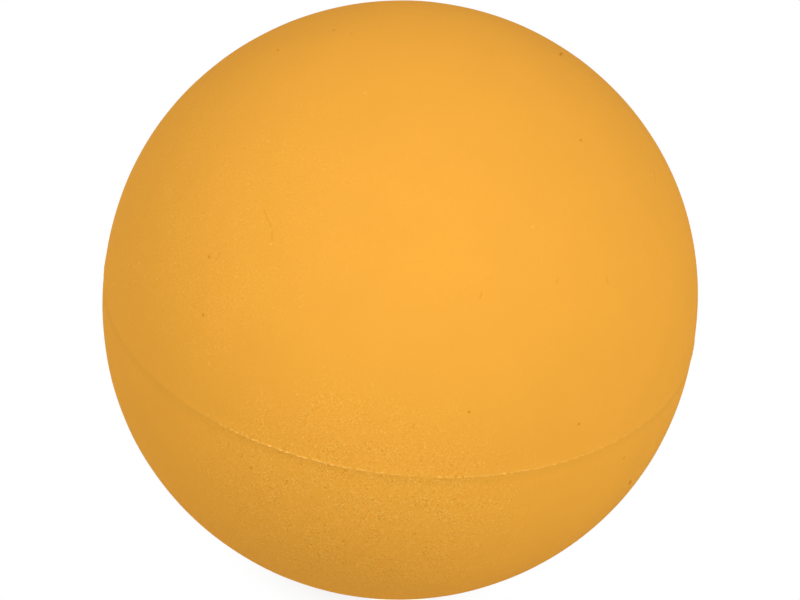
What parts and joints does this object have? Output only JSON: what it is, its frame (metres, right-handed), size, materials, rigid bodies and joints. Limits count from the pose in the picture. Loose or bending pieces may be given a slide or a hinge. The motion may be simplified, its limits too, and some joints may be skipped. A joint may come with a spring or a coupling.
{
  "type": "rubber ball",
  "caption": "Hollow moulded rubber ball for throwing, bouncing and squeezing: half shells cemented rim to rim, with a low raised seam line round the middle.",
  "frame": {"origin": "centre of the ball, in the plane of the joint between the half shells", "axes": "+Z along the ball's axis, square to the joint plane, towards the upper half shell; the pictured side faces -Y"},
  "size_m": [0.0598, 0.0598, 0.06],
  "materials": {
    "shell_rubber": "matte, finely grained by the mould",
    "seam_rubber": "matte, trimmed and lightly buffed"
  },
  "bodies": {
    "root": {"upper_half_shell": "shell_rubber", "lower_half_shell": "shell_rubber", "seam_cement": "seam_rubber"}
  },
  "joints": []
}
